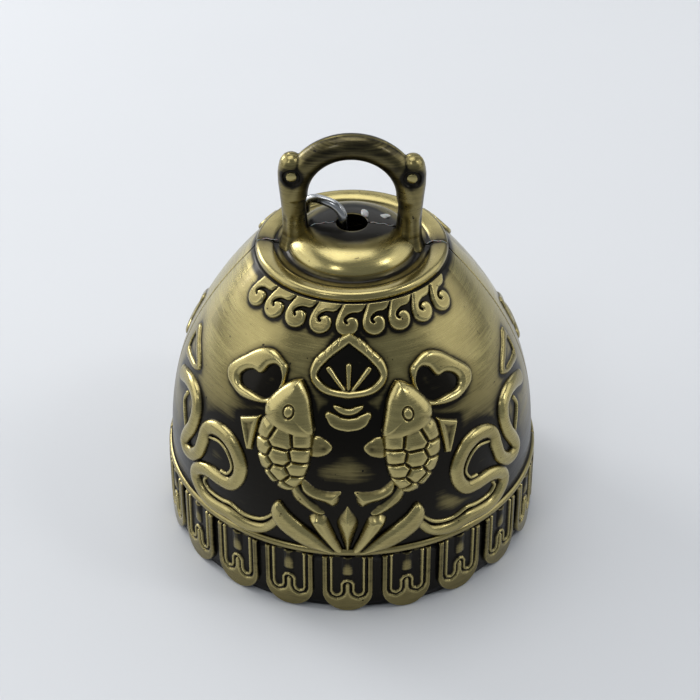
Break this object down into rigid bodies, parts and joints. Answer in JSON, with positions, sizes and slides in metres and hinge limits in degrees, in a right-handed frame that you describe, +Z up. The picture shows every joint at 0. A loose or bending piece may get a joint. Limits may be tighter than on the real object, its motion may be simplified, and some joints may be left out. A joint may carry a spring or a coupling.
{
  "type": "temple bell",
  "caption": "Small cast temple bell in two halves with relief ornament, arched carrying handle and a clapper that swings from a wire hanger.",
  "frame": {"origin": "on the bell's axis, at the level of the skirt tongues' tips that it stands on", "axes": "+Z up through the handle, -Y the front with the ornament, +X to the right seen from the front"},
  "size_m": [0.05, 0.05, 0.0572],
  "materials": {
    "bronze_casting": "antique bronze plating, brushed on the high relief",
    "bronze_pin": "antique bronze plating",
    "steel_wire": "bright nickel-plated steel wire",
    "clapper_casting": "antique bronze plating"
  },
  "bodies": {
    "shell": {"front_half": "bronze_casting", "rear_half": "bronze_casting", "left_pin": "bronze_pin", "right_pin": "bronze_pin"},
    "hanger": {"hanger_hook": "steel_wire"},
    "link": {"clapper_link": "steel_wire"},
    "clapper": {"clapper_stem": "steel_wire", "clapper_bob": "clapper_casting"}
  },
  "joints": [
    {"name": "hanger_swivel", "type": "hinge", "parent": "shell", "child": "hanger", "pos_m": [-0.0011, 0, 0.0442], "axis": [0, 0, 1], "range_deg": [-304, 4]},
    {"name": "link_swing", "type": "hinge", "parent": "hanger", "child": "link", "pos_m": [-0.0011, 0, 0.0356], "axis": [1, 0, 0], "range_deg": [-36, 36]},
    {"name": "clapper_swing", "type": "hinge", "parent": "link", "child": "clapper", "pos_m": [-0.0011, 0, 0.0236], "axis": [0, 1, 0], "range_deg": [-22, 22]}
  ]
}
